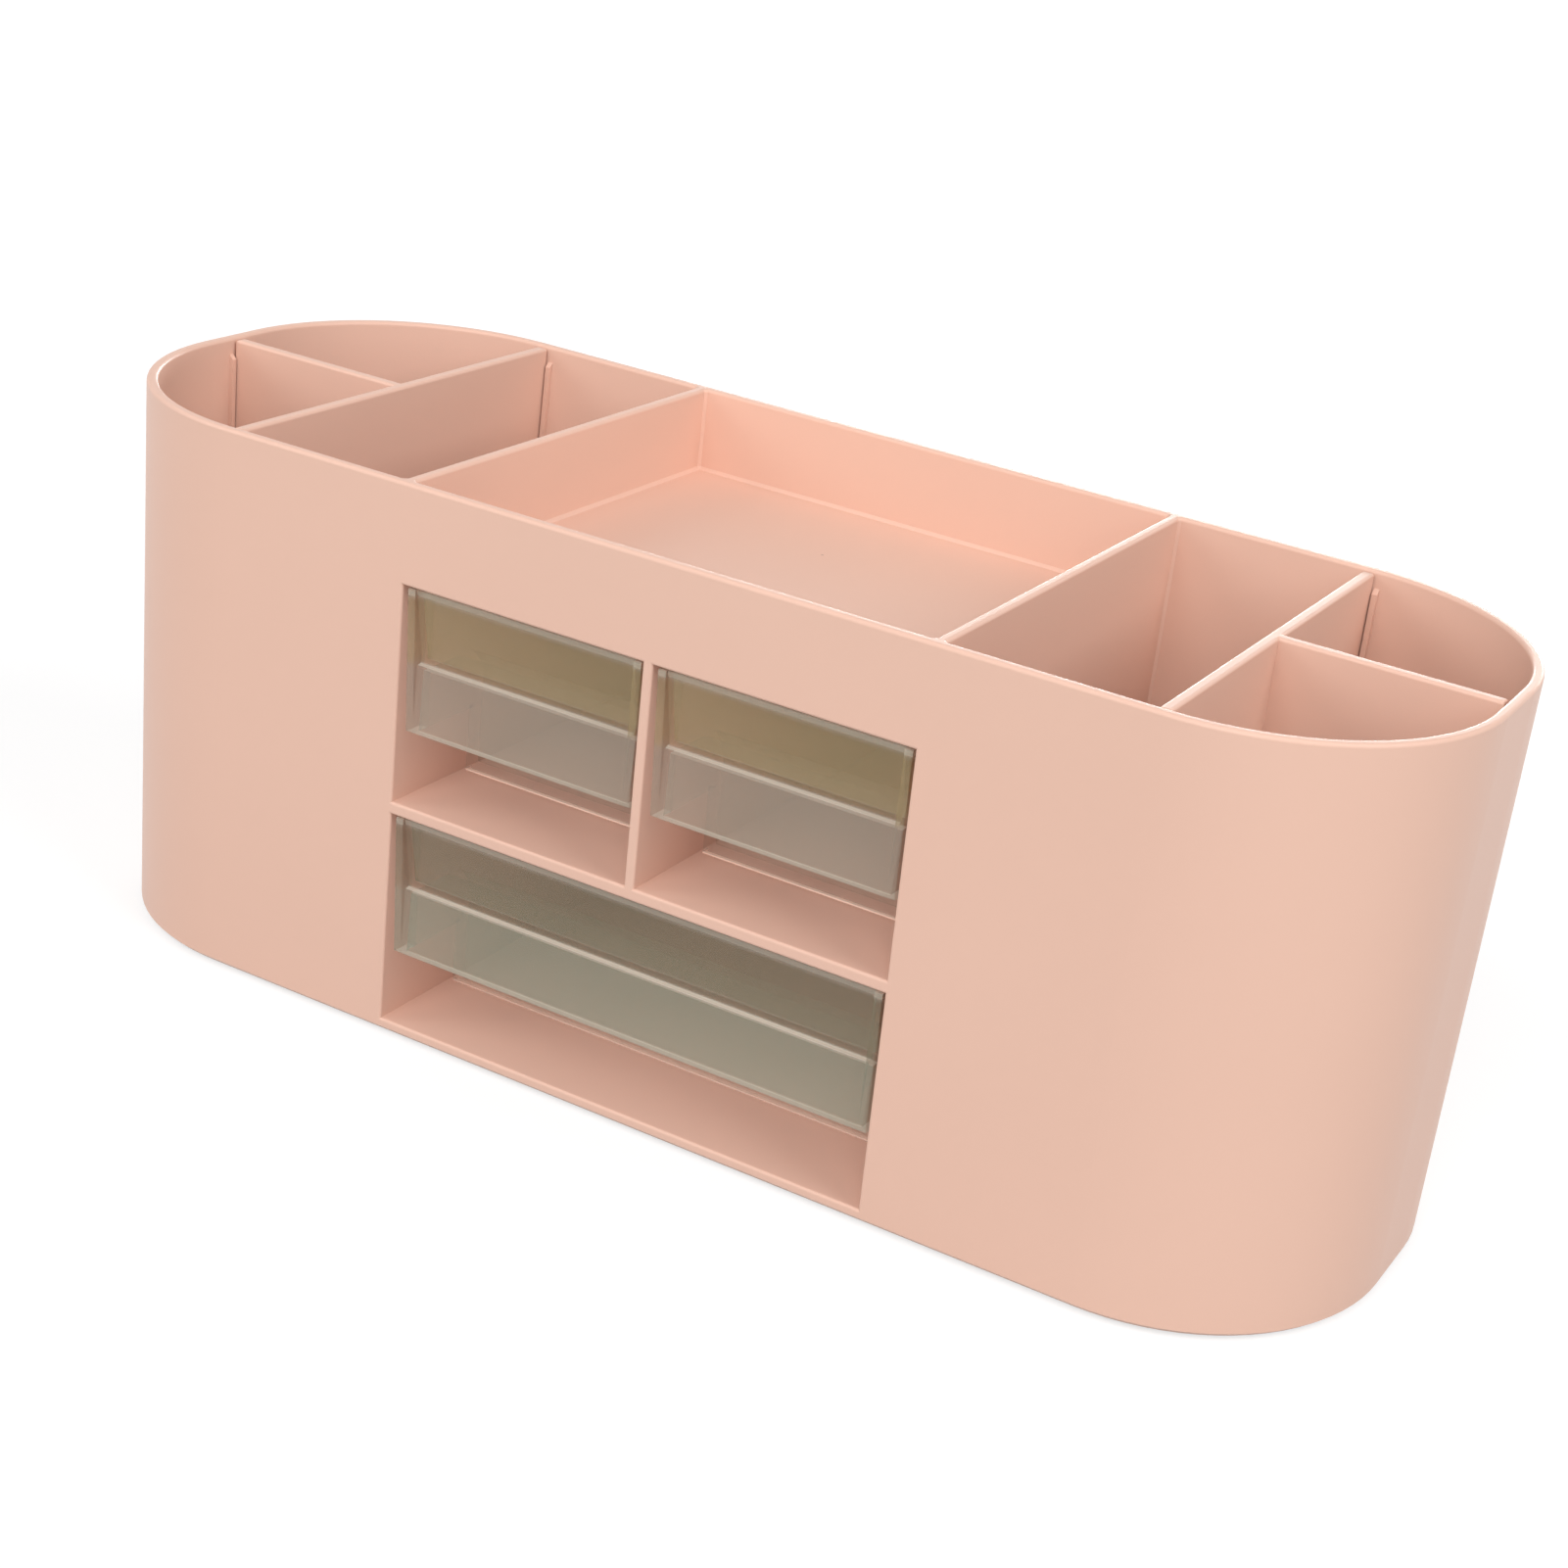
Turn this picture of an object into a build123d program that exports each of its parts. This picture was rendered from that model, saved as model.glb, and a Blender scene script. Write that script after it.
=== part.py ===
from build123d import *
import os
from math import radians, tan

# Desk organizer: a one-piece moulding with pen bins, a top tray and a cabinet of three clear drawers.
# Millimetres. +X runs along the body, -Y is the drawer side, +Z is up.
# The origin is on the desk, under the middle of the body.

# Body moulding
body_length = 260.0     # over the rim
body_width = 95.2       # over the rim
end_flat = 14.2         # flat left in the middle of each rounded end, at the rim
body_draft = 1.1        # degrees, the outside leans in towards the base
wall = 2.0              # outer wall and cabinet sides
base_floor = 2.3
rim_round = 0.7
base_edge = 0.8         # chamfer round the underside
corner_edge = 0.5       # upright inside corners of the bins and the tray
floor_edge = 0.6        # inside corners along their floors

# Drawer cabinet and tray in the middle of the body
cabinet_width = 99.7    # clear width between the cabinet sides
cell_height = 40.6      # clear height of each drawer cell
shelf = 2.3
partition = 1.9
tray_floor = 2.0
tray_depth = 16.2       # tray floor to rim
mouth_round = 0.5       # edges of the cell mouths in the front face

# T dividers, held between upright ribs in the two end bins
end_bin = 38.4          # cross panel's bay, from the divider to the end wall at the rim
divider = 2.2
divider_drop = 0.4      # divider top below the rim
divider_gap = 0.3       # each side of a panel, to its rib
divider_end_gap = 0.5   # free ends of the panels, to the wall
divider_round = 0.6     # top edges
divider_foot = 1.0      # rounding of the lower corners
rib_width = 1.0
rib_depth = 0.9
rib_drop = 2.8          # rib top below the divider top

# Running clearances
seat_gap = 0.3          # under the dividers and the drawers
side_gap = 0.7          # each side of a drawer, at its top
top_gap = 0.6           # above a drawer
back_gap = 0.5          # behind a drawer

# Drawers: an open box with a sunk front plate, a pull flap and a finger recess behind the flap
drawer_draft = 1.0      # degrees, sides and back lean in towards the floor
drawer_wall = 1.5
drawer_floor = 1.5
drawer_back_round = 4.0
floor_round = 1.0       # inside corners along the floor and behind the plate
cheek_set = 0.8         # side walls' front edges behind the body's face, at the top
cheek_lean = 1.3        # and how far they fall back by the foot of the flap
plate = 1.6
plate_set = 1.4         # front plate behind the body's face, at the top
plate_lean = 2.4        # and how far it falls back by the flap
flap = 1.8
flap_set = 2.0          # foot of the flap behind the body's face at the top of the cell
flap_lean = 0.5         # and how far it falls back by its top
flap_height = 12.7
ledge_round = 0.8       # between the plate and the flap's top
finger_gap = 13.4       # cell floor to the flap
recess_depth = 20.3     # body's face to the lower front wall
recess_round = 7.0
drawer_edge = 0.4       # rounding of the plate, flap and wall edges

# Foot pads, glued into shallow recesses under the base
pad_diameter = 12.0
pad_thickness = 1.6
pad_proud = 0.8         # height that the pads lift the base
pad_gap = 0.3           # round each pad, in its recess
pad_end_inset = 40.0    # pad centre from the end of the base
pad_side_inset = 19.5   # pad centre from the side of the base
pad_edge = 0.3

# Levels, from the desk up
base_z = pad_proud
floor_z = base_z + base_floor
upper_z = floor_z + cell_height + shelf
tray_z = upper_z + cell_height + tray_floor
rim_z = tray_z + tray_depth

# Places along the body
bin_x = cabinet_width / 2 + wall
upper_width = (cabinet_width - partition) / 2
upper_mid = (partition + upper_width) / 2
divider_x = body_length / 2 - wall - end_bin
divider_top = rim_z - divider_drop
divider_low = floor_z + seat_gap


def inset(z):
    return (rim_z - z) * tan(radians(body_draft))


def half_width(z, offset=0.0):
    return body_width / 2 - inset(z) - offset


def half_length(z, offset=0.0):
    return body_length / 2 - inset(z) - offset


def plan(z, offset):
    radius = (body_width - end_flat) / 2 - inset(z) - offset
    return Pos(0, 0, z) * RectangleRounded(2 * half_length(z, offset), 2 * half_width(z, offset), radius)


def block(z_low, z_high, offset):
    # Drafted block, inside the outline by the offset
    return extrude(plan(z_high, offset), z_low - z_high, taper=body_draft)


def outline(plane, corners):
    # Closed outline from (across, up, corner radius) rows
    points = [(across, up) for across, up, _ in corners]
    radii = [radius for _, _, radius in corners]
    return make_face(plane * FilletPolyline(*points, radius=radii, close=True))


# Body moulding: a drafted block with the bins, the tray and the drawer cells taken out of it
def bin_pocket():
    beyond = Pos(bin_x + body_length / 2, 0, rim_z / 2) * Box(body_length, body_width * 2, rim_z * 2)
    pocket = block(floor_z, rim_z + rim_round, wall) & beyond
    upright = pocket.faces().sort_by(Axis.X)[0].edges().filter_by(Axis.Y, reverse=True)
    pocket = chamfer(upright, corner_edge)
    return chamfer(pocket.faces().sort_by(Axis.Z)[0].edges(), floor_edge)


def tray_pocket():
    mouth_z = rim_z + rim_round

    def leaning(plane, half, depth):
        # Block over the tray floor with two sides that lean like the outside
        low = half - inset(tray_z)
        high = half - inset(mouth_z)
        rows = [(-low, tray_z, 0), (low, tray_z, 0), (high, mouth_z, 0), (-high, mouth_z, 0)]
        return extrude(outline(plane, rows), depth, both=True)

    across = leaning(Plane.XZ, cabinet_width / 2, body_width)
    pocket = across & leaning(Plane.YZ, body_width / 2 - wall, body_length)
    pocket = chamfer(pocket.edges().group_by(Axis.Z)[1], corner_edge)
    return chamfer(pocket.faces().sort_by(Axis.Z)[0].edges(), floor_edge)


def cell(x_mid, width, z_floor):
    front = -body_width / 2 - wall
    back = half_width(z_floor, wall)
    place = Pos(x_mid, (front + back) / 2, z_floor + cell_height / 2)
    return place * Box(width, back - front, cell_height)


def rib(half, along):
    # One upright rib with a sloped top, on the inside of a wall that stands at -half
    top = divider_top - rib_drop
    slope = top - rib_depth
    rows = [
        (-half + inset(floor_z) + wall / 2, floor_z, 0),
        (-half + inset(floor_z) + wall + rib_depth, floor_z, 0),
        (-half + inset(slope) + wall + rib_depth, slope, 0),
        (-half + inset(top) + wall, top, 0),
        (-half + inset(top) + wall / 2, top, 0),
    ]
    return Pos(along, 0, 0) * extrude(outline(Plane.YZ, rows), rib_width / 2, both=True)


def rib_pair(half, along):
    reach = divider / 2 + divider_gap + rib_width / 2
    return rib(half, along - reach) + rib(half, along + reach)


def on_front_face(edge):
    # True for the edges of the cell mouths, which lie in the front face
    points = [edge @ 0, edge @ 1]
    near = all(abs(p.Y + half_width(p.Z)) < mouth_round / 10 for p in points)
    inside = all(abs(p.X) < bin_x and floor_z - shelf / 2 < p.Z < tray_z for p in points)
    return near and inside


def pad_places():
    x = half_length(base_z) - pad_end_inset
    y = half_width(base_z) - pad_side_inset
    return {
        "front_left": (-x, -y),
        "front_right": (x, -y),
        "back_left": (-x, y),
        "back_right": (x, y),
    }


def body():
    shape = block(base_z, rim_z, 0)
    right_bin = bin_pocket()
    shape -= right_bin
    shape -= mirror(right_bin, about=Plane.YZ)
    shape -= tray_pocket()
    shape -= cell(-upper_mid, upper_width, upper_z)
    shape -= cell(upper_mid, upper_width, upper_z)
    shape -= cell(0, cabinet_width, floor_z)
    shape = fillet(shape.faces().sort_by(Axis.Z)[-1].edges(), rim_round)
    shape = chamfer(shape.faces().sort_by(Axis.Z)[0].edges(), base_edge)
    shape = fillet(shape.edges().filter_by(on_front_face), mouth_round)
    divider_mid = divider_x - divider / 2
    for side in (-1, 1):
        shape += rib_pair(body_width / 2, side * divider_mid)
        shape += Rot(0, 0, 180) * rib_pair(body_width / 2, side * divider_mid)
        shape += Rot(0, 0, 90 * side) * rib_pair(body_length / 2, 0)
    recess = pad_thickness - pad_proud
    for x, y in pad_places().values():
        shape -= Pos(x, y, base_z + recess / 2) * Cylinder(pad_diameter / 2 + pad_gap, recess)
    return shape


# T divider: a long panel across the body with a cross panel towards the end wall
def right_divider():
    def side_reach(z):
        return half_width(z, wall + divider_end_gap)

    def end_reach(z):
        return half_length(z, wall + divider_end_gap)

    long_rows = [
        (-side_reach(divider_low), divider_low, divider_foot),
        (side_reach(divider_low), divider_low, divider_foot),
        (side_reach(divider_top), divider_top, 0),
        (-side_reach(divider_top), divider_top, 0),
    ]
    cross_rows = [
        (divider_x - divider / 2, divider_low, 0),
        (end_reach(divider_low), divider_low, divider_foot),
        (end_reach(divider_top), divider_top, 0),
        (divider_x - divider / 2, divider_top, 0),
    ]
    long_panel = Pos(divider_x, 0, 0) * extrude(outline(Plane.YZ, long_rows), -divider)
    cross_panel = extrude(outline(Plane.XZ, cross_rows), divider / 2, both=True)
    shape = long_panel + cross_panel
    return fillet(shape.faces().sort_by(Axis.Z)[-1].edges(), divider_round)


# Drawer: side walls and back from a drafted tub that reaches out past the front, with the front, recess
# and floor as one bent section
def drawer(x_mid, cell_width, z_floor):
    low = z_floor + seat_gap
    top = z_floor + cell_height - top_gap
    face_y = -half_width(z_floor + cell_height)
    back_y = half_width(z_floor, wall) - back_gap
    front_y = face_y - wall
    rear_y = back_y + wall
    flap_low = z_floor + finger_gap
    flap_top = flap_low + flap_height
    flap_y = face_y + flap_set
    flap_top_y = flap_y + flap_lean
    plate_top_y = face_y + plate_set
    plate_low_y = plate_top_y + plate_lean
    cheek_y = face_y + cheek_set
    recess_y = face_y + recess_depth

    def tub(offset):
        # Drafted block with round back corners, inside the drawer's outside by the offset
        def half(z):
            return cell_width / 2 - side_gap - offset - (top - z) * tan(radians(drawer_draft))

        def back(z):
            return back_y - offset - (top - z) * tan(radians(drawer_draft))

        foot = low - wall
        head = top + wall
        across_rows = [(-half(foot), foot, 0), (half(foot), foot, 0), (half(head), head, 0), (-half(head), head, 0)]
        along_rows = [(front_y, foot, 0), (back(foot), foot, 0), (back(head), head, 0), (front_y, head, 0)]
        across = extrude(outline(Plane.XZ, across_rows), body_width, both=True)
        shape = across & extrude(outline(Plane.YZ, along_rows), cell_width, both=True)
        upright = shape.faces().sort_by(Axis.Y)[-1].edges().filter_by(Axis.X, reverse=True)
        return fillet(upright, drawer_back_round - offset)

    side_rows = [
        (cheek_y, top, drawer_edge),
        (cheek_y + cheek_lean, flap_low, drawer_edge),
        (recess_y, flap_low, 0),
        (recess_y, low, drawer_edge),
        (rear_y, low, 0),
        (rear_y, top, 0),
    ]
    section_rows = [
        (plate_top_y, top, drawer_edge),
        (plate_low_y, flap_top, ledge_round),
        (flap_top_y, flap_top, drawer_edge),
        (flap_y, flap_low, drawer_edge),
        (flap_y + flap, flap_low, drawer_edge),
        (flap_top_y + flap, flap_top - drawer_wall, 0),
        (recess_y, flap_top - drawer_wall, recess_round),
        (recess_y, low, drawer_edge),
        (rear_y, low, 0),
        (rear_y, low + drawer_floor, 0),
        (recess_y + drawer_wall, low + drawer_floor, floor_round),
        (recess_y + drawer_wall, flap_top, recess_round + drawer_wall),
        (plate_low_y + plate, flap_top, floor_round),
        (plate_top_y + plate, top, drawer_edge),
    ]
    inner = tub(drawer_wall)
    walls = (extrude(outline(Plane.YZ, side_rows), cell_width / 2, both=True) & tub(0)) - inner
    middle = extrude(outline(Plane.YZ, section_rows), cell_width / 2, both=True) & inner
    return Pos(x_mid, 0, 0) * (walls + middle)


# Foot pad: a thin disc with its lower edge chamfered
def foot_pad(x, y):
    disc = Pos(x, y, pad_thickness / 2) * Cylinder(pad_diameter / 2, pad_thickness)
    return chamfer(disc.faces().sort_by(Axis.Z)[0].edges(), pad_edge)


divider_right = right_divider()
parts = {
    "organizer_body": body(),
    "left_divider": mirror(divider_right, about=Plane.YZ),
    "right_divider": divider_right,
    "upper_left_drawer": drawer(-upper_mid, upper_width, upper_z),
    "upper_right_drawer": drawer(upper_mid, upper_width, upper_z),
    "lower_drawer": drawer(0, cabinet_width, floor_z),
}
for place, (pad_x, pad_y) in pad_places().items():
    parts["foot_pad_" + place] = foot_pad(pad_x, pad_y)

os.makedirs("parts", exist_ok=True)
for name, shape in parts.items():
    export_step(shape, "parts/" + name + ".step")
    size = shape.bounding_box().size
    print(name, "solids", len(shape.solids()), "size", round(size.X, 2), round(size.Y, 2), round(size.Z, 2))
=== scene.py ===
import math
import bpy
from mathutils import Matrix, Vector


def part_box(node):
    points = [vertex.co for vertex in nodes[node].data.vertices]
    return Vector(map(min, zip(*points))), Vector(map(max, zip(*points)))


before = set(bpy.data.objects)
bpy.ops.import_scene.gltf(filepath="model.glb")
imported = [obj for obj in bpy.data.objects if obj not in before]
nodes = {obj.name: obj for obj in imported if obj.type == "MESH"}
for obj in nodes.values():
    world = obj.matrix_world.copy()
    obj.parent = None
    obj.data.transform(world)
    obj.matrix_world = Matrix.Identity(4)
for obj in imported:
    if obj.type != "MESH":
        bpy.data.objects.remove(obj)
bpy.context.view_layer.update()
scene = bpy.context.scene
print("frame loaded:", len(nodes), "nodes")


# small helpers for shader nodes

def addNode(tree, kind, place, **settings):
    node = tree.nodes.new(kind)
    node.location = place
    for key, value in settings.items():
        setattr(node, key, value)
    return node


def feed(tree, socket, value):  # a plain value is set, a socket is linked
    if isinstance(value, (int, float, tuple)):
        socket.default_value = value
    else:
        tree.links.new(value, socket)


def srgb(red, green, blue):  # 0 to 255 as a picture shows it, to linear with alpha
    def lin(v):
        v = v / 255
        return v / 12.92 if v <= 0.04045 else ((v + 0.055) / 1.055) ** 2.4
    return (lin(red), lin(green), lin(blue), 1.0)


def newGroup(name, inputs, outputs):
    tree = bpy.data.node_groups.new(name, "ShaderNodeTree")
    for label, kind, value in inputs:
        socket = tree.interface.new_socket(label, in_out="INPUT", socket_type=kind)
        if value is not None:
            socket.default_value = value
    for label, kind in outputs:
        tree.interface.new_socket(label, in_out="OUTPUT", socket_type=kind)
    return tree, addNode(tree, "NodeGroupInput", (-1200, 0)), addNode(tree, "NodeGroupOutput", (900, 0))


def mathNode(tree, operation, a, b, place):
    node = addNode(tree, "ShaderNodeMath", place, operation=operation)
    feed(tree, node.inputs[0], a)
    feed(tree, node.inputs[1], b)
    return node.outputs[0]


def mixColour(tree, factor, a, b, place):
    node = addNode(tree, "ShaderNodeMix", place, data_type="RGBA")
    for index, value in ((0, factor), (6, a), (7, b)):  # the colour sockets of this node
        feed(tree, node.inputs[index], value)
    return node.outputs[2]


def spread(tree, value, fromRange, toRange, place):  # one range onto another, held at its ends
    node = addNode(tree, "ShaderNodeMapRange", place, clamp=True)
    feed(tree, node.inputs["Value"], value)
    for key, item in zip(("From Min", "From Max", "To Min", "To Max"), (*fromRange, *toRange)):
        feed(tree, node.inputs[key], item)
    return node.outputs["Result"]


def noise(tree, vector, scale, detail, place):
    node = addNode(tree, "ShaderNodeTexNoise", place)
    feed(tree, node.inputs["Vector"], vector)
    feed(tree, node.inputs["Scale"], scale)
    feed(tree, node.inputs["Detail"], detail)
    return node.outputs["Fac"]


# moulded surface: slow colour drift, fine grain, faint waviness and a rare speck in the resin
mouldTexture = {
    "flow": (14, 2),  # scale and detail: flow of the melt, some 70 mm across
    "grain": (2600, 3),  # texture of the mould, about 0.4 mm
    "wave": (55, 1),  # slight waviness of a thin wall
    "driftRange": (0.3, 0.7),  # part of the flow that changes the colour
    "roughRange": (0.35, 0.65),  # and the roughness
    "grainShare": 0.4,  # of the roughness, the flow gives the rest
    "speckScale": 34,  # cells of some 30 mm, each with one speck at most
    "speckSize": (0.006, 0.011),  # dark core and outer edge, as shares of a cell
    "speckFree": 0.55,  # share of the cells without a speck
    "speckColour": (0.2, 0.1, 0.06, 1),
}


def buildMouldGroup():
    tree, given, out = newGroup("mouldedSurface", [
        ("Vector", "NodeSocketVector", None),
        ("Tint", "NodeSocketColor", (0.8, 0.8, 0.8, 1)),
        ("Drift", "NodeSocketFloat", 0.03),
        ("Specks", "NodeSocketFloat", 0.0),
        ("Rough Low", "NodeSocketFloat", 0.3),
        ("Rough High", "NodeSocketFloat", 0.4),
        ("Grain", "NodeSocketFloat", 0.5),
        ("Wave", "NodeSocketFloat", 0.5),
    ], [("Color", "NodeSocketColor"), ("Roughness", "NodeSocketFloat"), ("Height", "NodeSocketFloat")])
    link = tree.links.new
    vector = given.outputs["Vector"]
    flow = noise(tree, vector, *mouldTexture["flow"], (-900, 300))
    fine = noise(tree, vector, *mouldTexture["grain"], (-900, 0))
    wave = noise(tree, vector, *mouldTexture["wave"], (-900, -300))

    # colour: the tint, lighter and darker with the flow, and the specks
    drift = given.outputs["Drift"]
    darker = mathNode(tree, "MULTIPLY", drift, -1, (-650, 480))
    shade = spread(tree, flow, mouldTexture["driftRange"], (darker, drift), (-600, 300))
    toned = addNode(tree, "ShaderNodeVectorMath", (-200, 300), operation="SCALE")
    link(given.outputs["Tint"], toned.inputs[0])
    link(mathNode(tree, "ADD", shade, 1, (-400, 300)), toned.inputs["Scale"])
    cells = addNode(tree, "ShaderNodeTexVoronoi", (-900, 650))
    link(vector, cells.inputs["Vector"])
    cells.inputs["Scale"].default_value = mouldTexture["speckScale"]
    dot = spread(tree, cells.outputs["Distance"], mouldTexture["speckSize"], (1, 0), (-600, 650))
    chance = addNode(tree, "ShaderNodeSeparateColor", (-700, 850))
    link(cells.outputs["Color"], chance.inputs[0])
    rare = mathNode(tree, "GREATER_THAN", chance.outputs[0], mouldTexture["speckFree"], (-500, 850))
    mark = mathNode(tree, "MULTIPLY", dot, rare, (-350, 700))
    mark = mathNode(tree, "MULTIPLY", mark, given.outputs["Specks"], (-150, 700))
    colour = mixColour(tree, mark, toned.outputs[0], mouldTexture["speckColour"], (100, 400))
    link(colour, out.inputs["Color"])

    # roughness: partly with the grain, mostly with the flow
    grainPart = mathNode(tree, "MULTIPLY", fine, mouldTexture["grainShare"], (-600, 50))
    flowPart = mathNode(tree, "MULTIPLY", flow, 1 - mouldTexture["grainShare"], (-600, -100))
    patch = mathNode(tree, "ADD", grainPart, flowPart, (-400, 0))
    limits = (given.outputs["Rough Low"], given.outputs["Rough High"])
    link(spread(tree, patch, mouldTexture["roughRange"], limits, (100, 100)), out.inputs["Roughness"])

    # height for the bump
    grain = mathNode(tree, "MULTIPLY", fine, given.outputs["Grain"], (-400, -200))
    swell = mathNode(tree, "MULTIPLY", wave, given.outputs["Wave"], (-400, -350))
    link(mathNode(tree, "ADD", grain, swell, (100, -200)), out.inputs["Height"])
    return tree


mouldGroup = buildMouldGroup()


# zones of a clear drawer: narrow edges and a band along the front's top for painted highlights, the front,
# the plate above the flap, and the recess's foot for a painted highlight line
drawerZones = {
    # metres over which each zone fades
    "foreFade": (0, 0.0006),
    "topFade": (0.0004, 0.001),  # level faces along the top
    "bandFade": (0.001, 0.002),  # upper edge of the front
    "recessFade": (0.0016, 0.002),  # wall of the finger recess
    "footFade": (0.0004, 0.0008),
    "plateFade": (0, 0.0006),
    "levelFacing": (0.45, 0.9),  # upward part of the normal at which a face counts as level
    "bandShare": 0.7,  # strength of the painted highlight band beside that of the level edges
}


def buildZoneGroup():
    tree, given, out = newGroup("drawerZones", [
        ("Vector", "NodeSocketVector", None),
        ("Normal", "NodeSocketVector", None),
        ("Front", "NodeSocketFloat", 0.0),
        ("Top", "NodeSocketFloat", 0.0),
        ("Ledge", "NodeSocketFloat", 0.0),
        ("Recess", "NodeSocketFloat", 0.0),
        ("Foot", "NodeSocketFloat", 0.0),
    ], [(label, "NodeSocketFloat") for label in ("Edge", "Fore", "Plate", "Foot")])
    link = tree.links.new
    spot = addNode(tree, "ShaderNodeSeparateXYZ", (-900, 200))
    link(given.outputs["Vector"], spot.inputs[0])
    facing = addNode(tree, "ShaderNodeSeparateXYZ", (-900, -100))
    link(given.outputs["Normal"], facing.inputs[0])
    depth, height = spot.outputs[1], spot.outputs[2]

    # distances from the front, the top, the ledge, the recess's wall and the foot
    behind = mathNode(tree, "SUBTRACT", depth, given.outputs["Front"], (-700, 200))
    below = mathNode(tree, "SUBTRACT", given.outputs["Top"], height, (-700, 400))
    above = mathNode(tree, "SUBTRACT", height, given.outputs["Ledge"], (-700, 600))
    offset = mathNode(tree, "SUBTRACT", depth, given.outputs["Recess"], (-700, -300))
    sunk = mathNode(tree, "ABSOLUTE", offset, 0, (-500, -300))
    risen = mathNode(tree, "SUBTRACT", height, given.outputs["Foot"], (-700, -500))

    # level edges of the front and the top, and a band along the front's top, where highlights are painted
    upward = mathNode(tree, "ABSOLUTE", facing.outputs[2], 0, (-700, -100))
    level = spread(tree, upward, drawerZones["levelFacing"], (0, 1), (-500, -100))
    fore = spread(tree, behind, drawerZones["foreFade"], (1, 0), (-500, 200))
    nearTop = spread(tree, below, drawerZones["topFade"], (1, 0), (-500, 400))
    either = mathNode(tree, "MAXIMUM", fore, nearTop, (-300, 300))
    narrow = mathNode(tree, "MULTIPLY", either, level, (-100, 200))
    upper = spread(tree, below, drawerZones["bandFade"], (drawerZones["bandShare"], 0), (-500, 800))
    band = mathNode(tree, "MULTIPLY", upper, fore, (-300, 700))
    link(mathNode(tree, "MAXIMUM", narrow, band, (200, 300)), out.inputs["Edge"])

    # foot of the recess's wall, where a thin highlight line is painted
    inWall = spread(tree, sunk, drawerZones["recessFade"], (1, 0), (-300, -300))
    nearFoot = spread(tree, risen, drawerZones["footFade"], (1, 0), (-300, -500))
    link(mathNode(tree, "MULTIPLY", inWall, nearFoot, (-100, -400)), out.inputs["Foot"])

    link(fore, out.inputs["Fore"])
    link(spread(tree, above, drawerZones["plateFade"], (0, 1), (-300, 600)), out.inputs["Plate"])
    return tree


zoneGroup = buildZoneGroup()


def mouldMaterial(name, look):
    material = bpy.data.materials.new(name)
    material.use_nodes = True
    tree = material.node_tree
    shader = tree.nodes["Principled BSDF"]
    where = addNode(tree, "ShaderNodeTexCoord", (-900, 0))
    surface = addNode(tree, "ShaderNodeGroup", (-600, 0), node_tree=mouldGroup)
    tree.links.new(where.outputs["Object"], surface.inputs["Vector"])
    for key in ("Tint", "Drift", "Specks", "Rough Low", "Rough High", "Grain", "Wave"):
        surface.inputs[key].default_value = look[key]
    bump = addNode(tree, "ShaderNodeBump", (-300, -250))
    bump.inputs["Strength"].default_value = look["bumpStrength"]
    bump.inputs["Distance"].default_value = look["bumpDistance"]
    tree.links.new(surface.outputs["Height"], bump.inputs["Height"])
    tree.links.new(surface.outputs["Color"], shader.inputs["Base Color"])
    tree.links.new(surface.outputs["Roughness"], shader.inputs["Roughness"])
    tree.links.new(bump.outputs["Normal"], shader.inputs["Normal"])
    for key, value in look["shader"].items():
        shader.inputs[key].default_value = value
    return material


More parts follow.
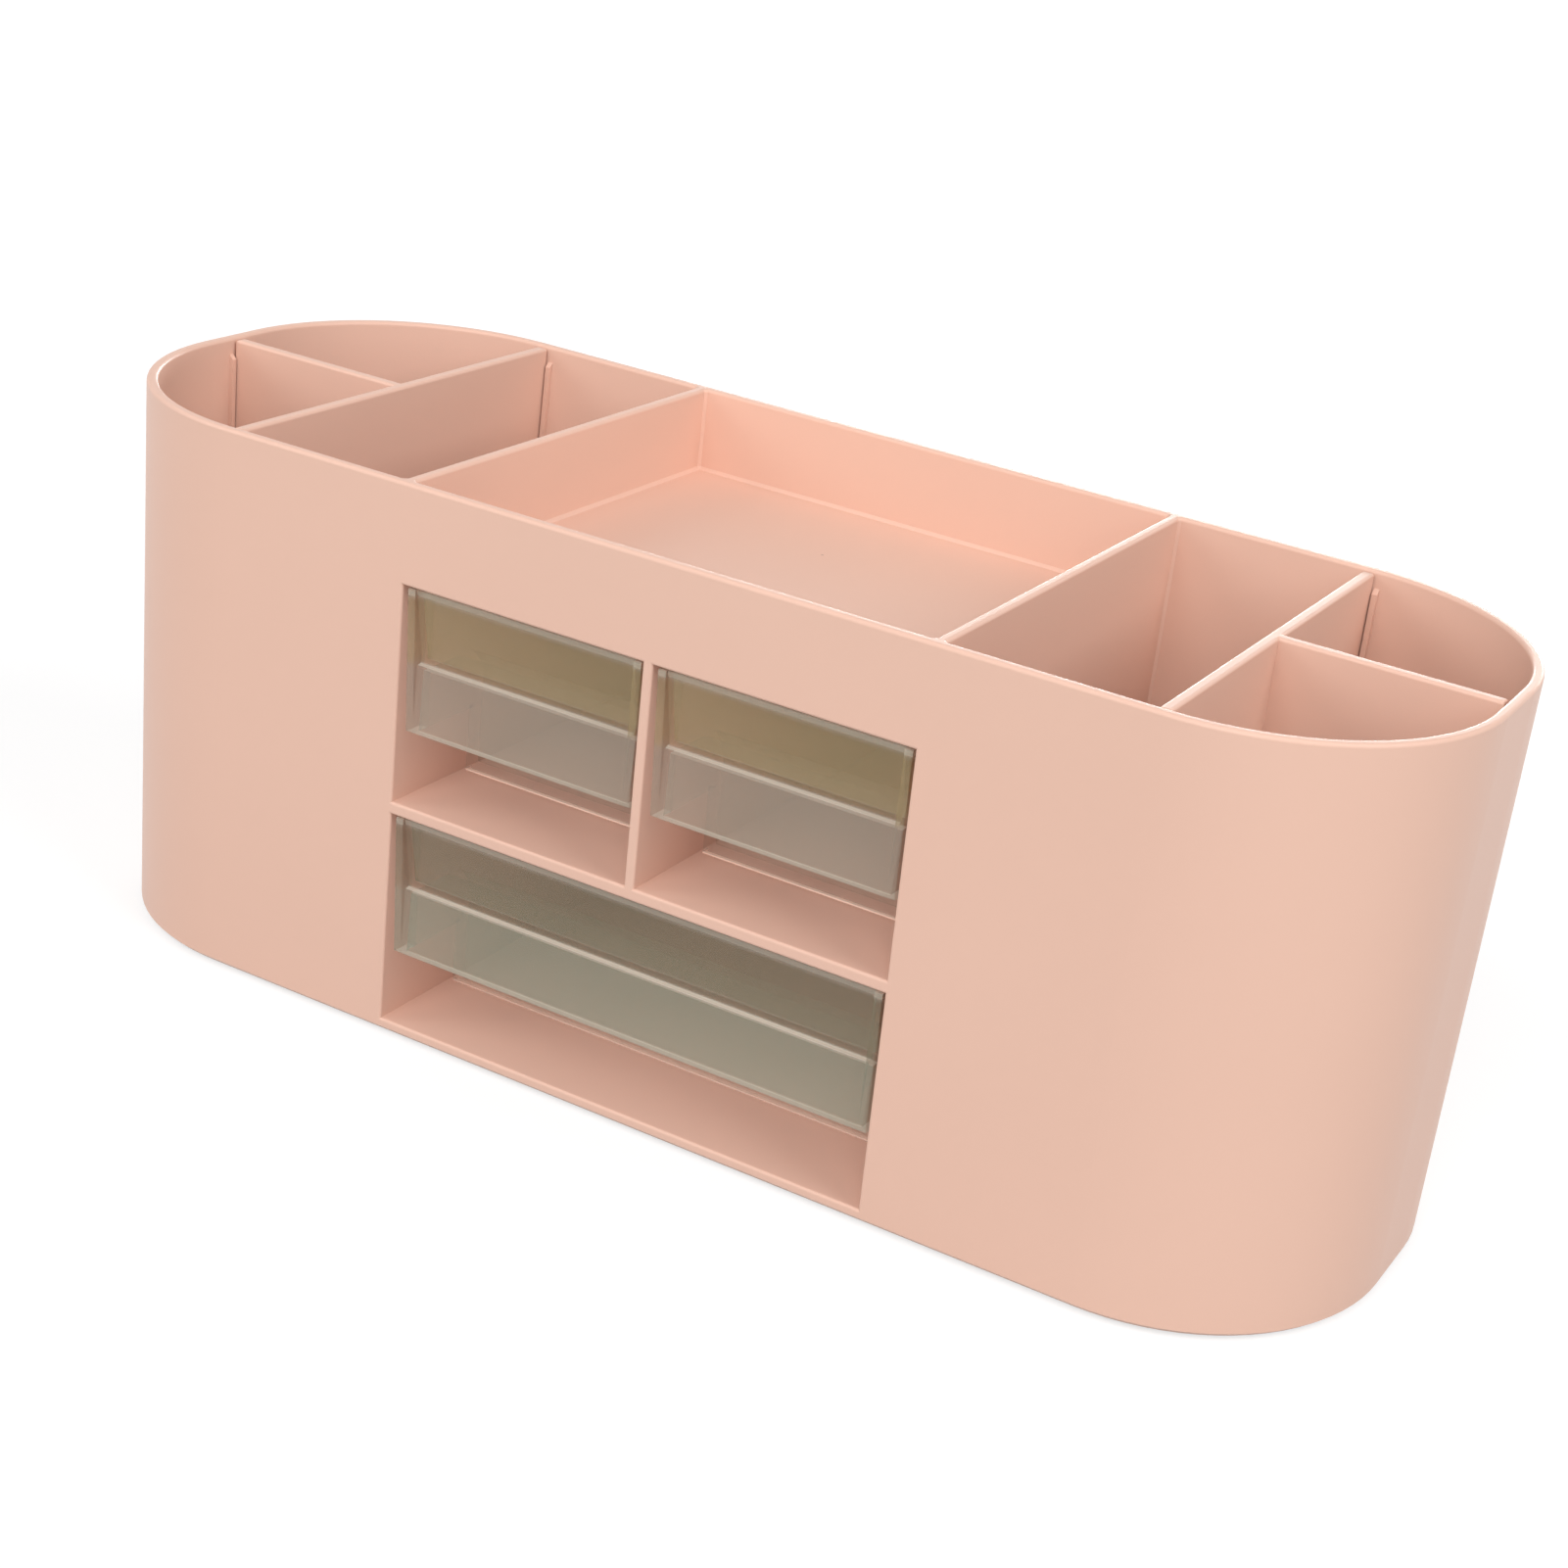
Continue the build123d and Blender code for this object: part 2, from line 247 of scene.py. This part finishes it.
def clearMaterial(name, look, low, high):  # a moulding that lets light through, with painted highlights along its edges
    material = mouldMaterial(name, look)
    tree = material.node_tree
    shader = tree.nodes["Principled BSDF"]
    where = next(n for n in tree.nodes if n.bl_idname == "ShaderNodeTexCoord")
    surface = next(n for n in tree.nodes if n.bl_idname == "ShaderNodeGroup")
    zones = addNode(tree, "ShaderNodeGroup", (-1000, 350), node_tree=zoneGroup)
    tree.links.new(where.outputs["Object"], zones.inputs["Vector"])
    tree.links.new(where.outputs["Normal"], zones.inputs["Normal"])
    places = {
        "Front": low[1] + look["frontZone"],
        "Top": high[2],
        "Ledge": low[2] + look["ledgeRise"],
        "Recess": low[1] + look["recessDepth"],
        "Foot": low[2],
    }
    for key, value in places.items():
        zones.inputs[key].default_value = value
    edgeHighlight, fore, footHighlight = (zones.outputs[key] for key in ("Edge", "Fore", "Foot"))

    # colour: the plate gets a painted olive shade of the dim interior seen through it, the edges a painted
    # highlight, and the recess's foot a brighter painted highlight line
    tintWithPlateShade = mixColour(tree, zones.outputs["Plate"], look["Tint"], look["plateShadeTint"], (-800, 200))
    tree.links.new(tintWithPlateShade, surface.inputs["Tint"])
    colour = mixColour(tree, edgeHighlight, surface.outputs["Color"], look["edgeHighlightTint"], (-250, 250))
    colour = mixColour(tree, footHighlight, colour, look["footHighlightTint"], (-50, 250))
    tree.links.new(colour, shader.inputs["Base Color"])

    # haze, partly the smoke tint and partly a painted reflection of the surroundings: more in the front
    # than behind it, more seen from the side, and most along the edges, where it carries the painted
    # highlights
    rim = addNode(tree, "ShaderNodeLayerWeight", (-700, 600))
    rim.inputs["Blend"].default_value = look["rimBlend"]
    straight = spread(tree, fore, (0, 1), (look["innerHaze"], look["haze"]), (-500, 800))
    sideways = spread(tree, fore, (0, 1), (look["innerRimHaze"], look["rimHaze"]), (-500, 1000))
    haze = spread(tree, rim.outputs["Facing"], (0, 1), (straight, sideways), (-300, 700))
    # the painted highlights also make the surface more opaque, so that they show
    for mask, key, y in ((edgeHighlight, "edgeHaze", 450), (footHighlight, "footHaze", 300)):
        part = mathNode(tree, "MULTIPLY", mask, look[key], (-300, y))
        haze = mathNode(tree, "MAXIMUM", haze, part, (-100, y + 150))

    # most of the haze is gloss, which holds back little light
    path = addNode(tree, "ShaderNodeLightPath", (-700, 1300))
    shadow, diffuse = path.outputs["Is Shadow Ray"], path.outputs["Is Diffuse Ray"]
    passing = mathNode(tree, "MAXIMUM", shadow, diffuse, (-450, 1250))
    share = spread(tree, passing, (0, 1), (1.0, look["shadeShare"]), (-250, 1100))
    tree.links.new(mathNode(tree, "MULTIPLY", haze, share, (50, 700)), shader.inputs["Alpha"])
    return material


def dress(names, material):
    for name in names:
        mesh = nodes[name].data
        mesh.materials.clear()
        mesh.materials.append(material)


# body and dividers: peach plastic with a satin gloss
bodyLook = {
    "Tint": srgb(230, 190, 171),
    "Drift": 0.012,
    "Specks": 0.5,
    "Rough Low": 0.34,
    "Rough High": 0.42,
    "Grain": 0.25,
    "Wave": 0.6,
    "bumpStrength": 0.12,
    "bumpDistance": 0.0004,
    "shader": {"IOR": 1.49, "Specular IOR Level": 0.2},
}
peach = mouldMaterial("peachPlastic", bodyLook)
dress(["organizer_body", "left_divider", "right_divider"], peach)
print("body and dividers dressed")

# drawers: clear plastic with a smoke tint
drawerLook = {
    "Tint": srgb(171, 160, 142),
    # painted shade: the olive of the dim interior seen through the plate above the flap
    "plateShadeTint": srgb(175, 157, 113),
    "Drift": 0.03,
    "Specks": 0.0,
    "Rough Low": 0.03,
    "Rough High": 0.08,
    "Grain": 0.0,
    "Wave": 0.6,
    "bumpStrength": 0.1,
    "bumpDistance": 0.0004,
    # painted highlight along the narrow edges and the band at the front's top
    "edgeHighlightTint": srgb(216, 208, 192),
    "edgeHaze": 0.7,
    "footHighlightTint": srgb(255, 226, 208),  # painted highlight: thin bright line under the finger recess
    "footHaze": 0.9,
    "haze": 0.26,  # share of each surface that isn't see-through, seen straight on
    "rimHaze": 0.6,  # and seen from the side
    "innerHaze": 0.04,  # the same two for the walls and floor behind the front
    "innerRimHaze": 0.32,
    "rimBlend": 0.3,  # how far a face has to turn before it counts as seen from the side
    "shadeShare": 0.12,  # part of that haze that also holds back light
    "frontZone": 0.0052,  # depth behind a drawer's front edge that counts as its front
    "ledgeRise": 0.0258,  # foot of a drawer to the top of its flap
    "recessDepth": 0.0195,  # front edge to the finger recess's wall
    "shader": {"IOR": 1.49, "Specular IOR Level": 0.6},
}
# the lower drawer, of the same plastic, gets a darker, greyer tint as painted shade, and a fainter painted
# highlight line under its recess
lowerShadedLook = {**drawerLook, "Tint": srgb(150, 156, 136), "plateShadeTint": srgb(136, 131, 105), "footHaze": 0.45}
for name, look, drawers in (("upperSmoke", drawerLook, ["upper_left_drawer", "upper_right_drawer"]),
                            ("lowerShadedSmoke", lowerShadedLook, ["lower_drawer"])):
    dress(drawers, clearMaterial(name, look, *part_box(drawers[0])))
print("drawers dressed")

# foot pads: soft grey rubber
padLook = {
    "Tint": srgb(122, 118, 114),
    "Drift": 0.05,
    "Specks": 0.0,
    "Rough Low": 0.7,
    "Rough High": 0.85,
    "Grain": 1.0,
    "Wave": 0.2,
    "bumpStrength": 0.3,
    "bumpDistance": 0.0003,
    "shader": {"IOR": 1.45, "Specular IOR Level": 0.3},
}
rubber = mouldMaterial("padRubber", padLook)
dress([name for name in nodes if name.startswith("foot_pad_")], rubber)
print("pads dressed")

# studio: a pale floor, a white surround and soft lamps
studio = {
    "floorSize": 12.0,
    "floorShade": 0.4,
    "floorGlow": (0.66, 0.92),  # as the camera sees it, near the object and far off
    "glowReach": (0.25, 1.6),  # metres from the middle
    "surroundFill": 0.3,
    "surroundSeen": 1.0,  # white
    "clearLayers": 32,  # light has to pass many layers of clear plastic
    "lampAim": (0, 0, 0.05),
    "lamps": [
        # name, place, width, height, watts
        ("frontLamp", (0.3, -1.5, 1.4), 1.6, 1.2, 22.0),
        ("rightLamp", (1.6, -0.2, 1.3), 1.2, 1.2, 19.0),
        ("leftLamp", (-1.6, -1.0, 1.0), 1.0, 1.0, 9.0),
        ("lowLamp", (0.1, -2.0, 0.45), 1.6, 0.6, 6.5),
        ("backLamp", (-0.4, 2.2, 0.3), 1.6, 0.4, 28.0),
    ],
}


def showsWhite(tree, place):  # 1 for what the camera sees, also in gloss and through clear plastic
    x, y = place
    path = addNode(tree, "ShaderNodeLightPath", place)
    camera, gloss = path.outputs["Is Camera Ray"], path.outputs["Is Glossy Ray"]
    seen = mathNode(tree, "MAXIMUM", camera, gloss, (x + 200, y))
    return mathNode(tree, "MAXIMUM", seen, path.outputs["Is Transmission Ray"], (x + 400, y))


def buildFloor():
    bpy.ops.mesh.primitive_plane_add(size=studio["floorSize"], location=(0, 0, 0))
    floor = bpy.context.object
    floor.name = "studioFloor"
    material = bpy.data.materials.new("paleFloor")
    material.use_nodes = True
    tree = material.node_tree
    tree.nodes.clear()
    matt = addNode(tree, "ShaderNodeBsdfDiffuse", (0, 100))
    matt.inputs["Color"].default_value = (studio["floorShade"],) * 3 + (1,)
    glow = addNode(tree, "ShaderNodeEmission", (0, -100))
    where = addNode(tree, "ShaderNodeTexCoord", (-1100, 100))
    away = addNode(tree, "ShaderNodeVectorMath", (-900, 100), operation="LENGTH")
    tree.links.new(where.outputs["Object"], away.inputs[0])
    shine = spread(tree, away.outputs["Value"], studio["glowReach"], studio["floorGlow"], (-650, 100))
    level = mathNode(tree, "MULTIPLY", showsWhite(tree, (-900, -200)), shine, (-200, -200))
    tree.links.new(level, glow.inputs["Strength"])
    both = addNode(tree, "ShaderNodeAddShader", (250, 0))
    tree.links.new(matt.outputs[0], both.inputs[0])
    tree.links.new(glow.outputs[0], both.inputs[1])
    surface = addNode(tree, "ShaderNodeOutputMaterial", (450, 0))
    tree.links.new(both.outputs[0], surface.inputs["Surface"])
    floor.data.materials.append(material)


def buildSurround():
    world = bpy.data.worlds.new("whiteSurround")
    world.use_nodes = True
    tree = world.node_tree
    back = tree.nodes["Background"]
    back.inputs["Color"].default_value = (1, 1, 1, 1)
    strengths = (studio["surroundFill"], studio["surroundSeen"])
    level = spread(tree, showsWhite(tree, (-900, 0)), (0, 1), strengths, (-250, 0))
    tree.links.new(level, back.inputs["Strength"])
    scene.world = world


def buildLamps():
    for name, place, width, height, watts in studio["lamps"]:
        data = bpy.data.lights.new(name, "AREA")
        data.shape = "RECTANGLE"
        data.size = width
        data.size_y = height
        data.energy = watts
        lamp = bpy.data.objects.new(name, data)
        lamp.location = place
        lamp.visible_camera = False
        aim = Vector(studio["lampAim"]) - Vector(place)
        lamp.rotation_euler = aim.to_track_quat("-Z", "Y").to_euler()
        scene.collection.objects.link(lamp)


scene.cycles.transparent_max_bounces = studio["clearLayers"]
buildFloor()
buildSurround()
buildLamps()
print("studio ready")

# camera at the photograph's angle, in the 1601 x 1601 frame
cameraLook = {
    "place": (0.223, -0.40975, 0.24947),
    "turn": (69.789, -7.192, 28.135),  # degrees
    "sensor": 36,  # millimetres
    "lens": 64.103,
    "shift": (-0.09314, -0.08395),
    "clipStart": 0.01,
}
cameraData = bpy.data.cameras.new("photoCamera")
cameraData.sensor_width = cameraLook["sensor"]
cameraData.lens = cameraLook["lens"]
cameraData.shift_x, cameraData.shift_y = cameraLook["shift"]
cameraData.clip_start = cameraLook["clipStart"]
camera = bpy.data.objects.new("photoCamera", cameraData)
camera.location = cameraLook["place"]
camera.rotation_euler = [math.radians(a) for a in cameraLook["turn"]]
scene.collection.objects.link(camera)
scene.camera = camera
scene.view_settings.view_transform = "Standard"
print("camera set")
